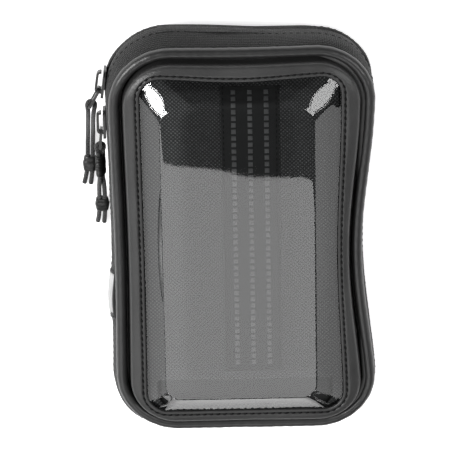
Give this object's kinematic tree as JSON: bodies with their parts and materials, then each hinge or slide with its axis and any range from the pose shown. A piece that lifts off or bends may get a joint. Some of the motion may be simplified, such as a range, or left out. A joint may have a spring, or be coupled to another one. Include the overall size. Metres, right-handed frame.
{
  "type": "motorcycle tank bag",
  "caption": "Slim soft motorcycle tank bag: zipped compartment on a magnetic base, lid with a padded frame and a clear boxed phone window.",
  "frame": {"origin": "centre of the underside that rests on the tank", "axes": "+Z out of the tank, +Y towards the front of the motorcycle (top of the phone), +X to the rider's right"},
  "size_m": [0.1243, 0.1897, 0.043],
  "materials": {
    "woven_cloth": "coarse black woven polyester",
    "face_leather": "smooth black imitation leather, satin",
    "welt_skin": "satin black imitation leather",
    "dotted_cloth": "black cloth with a fine raised dot pattern",
    "lining_cloth": "plain black nylon taffeta",
    "tape_cloth": "black woven tape",
    "coil_plastic": "black nylon coil",
    "clear_film": "clear glossy soft film",
    "foam": "closed-cell foam",
    "grip_rubber": "matt anti-slip rubber",
    "stiffener": "plastic sheet",
    "magnet_steel": "plated magnet",
    "slider_metal": "black coated cast metal",
    "cord_braid": "dark grey braided cord",
    "crimp_plastic": "black moulded plastic",
    "label_cloth": "pale reflective patch"
  },
  "bodies": {
    "base": {"base_grip": "grip_rubber", "base_foam": "foam", "base_magnets": "magnet_steel", "base_board": "stiffener", "base_lining": "lining_cloth", "back_gusset": "woven_cloth", "base_welt": "welt_skin", "lower_zip_tape": "tape_cloth", "lower_zip_coil": "coil_plastic", "hinge_gusset": "woven_cloth", "zip_end_tabs": "tape_cloth"},
    "lid": {"front_gusset": "woven_cloth", "lid_welt": "welt_skin", "welt_core": "stiffener", "window_film": "clear_film", "lid_lining": "lining_cloth", "side_label": "label_cloth", "face_panel": "face_leather", "face_foam": "foam", "window_binding": "face_leather", "pocket_back": "dotted_cloth", "keeper_tape": "tape_cloth", "mouth_loop_strip": "tape_cloth", "upper_zip_coil": "coil_plastic", "upper_zip_tape": "tape_cloth"},
    "pocket_flap": {"mouth_flap": "lining_cloth", "flap_hook_strip": "tape_cloth"},
    "upper_slider": {"upper_slider": "slider_metal"},
    "upper_pull": {"upper_pull_link": "slider_metal", "upper_pull_cord": "cord_braid", "upper_pull_crimp": "crimp_plastic"},
    "lower_slider": {"lower_slider": "slider_metal"},
    "lower_pull": {"lower_pull_link": "slider_metal", "lower_pull_cord": "cord_braid", "lower_pull_crimp": "crimp_plastic"}
  },
  "joints": [
    {"name": "lid_hinge", "type": "hinge", "parent": "base", "child": "lid", "pos_m": [0, 0.0957, 0.016], "axis": [-1, 0, 0], "range_deg": [0, 110], "deforming": ["hinge_gusset"]},
    {"name": "pocket_flap_hinge", "type": "hinge", "parent": "lid", "child": "pocket_flap", "pos_m": [0, -0.06, 0.0326], "axis": [1, 0, 0], "range_deg": [0, 60]},
    {"name": "upper_slider_slide", "type": "slide", "parent": "base", "child": "upper_slider", "axis": [0.1392, 0.9903, 0], "range_m": [0, 0.006]},
    {"name": "upper_pull_swing", "type": "hinge", "parent": "upper_slider", "child": "upper_pull", "pos_m": [-0.05963, 0.06851, 0.016], "axis": [0, 0, -1], "range_deg": [0, 125]},
    {"name": "lower_slider_slide", "type": "slide", "parent": "base", "child": "lower_slider", "axis": [0, -1, 0], "range_m": [0, 0.1]},
    {"name": "lower_pull_swing", "type": "hinge", "parent": "lower_slider", "child": "lower_pull", "pos_m": [-0.0593, 0.0492, 0.016], "axis": [0, 0, -1], "range_deg": [0, 95]}
  ]
}
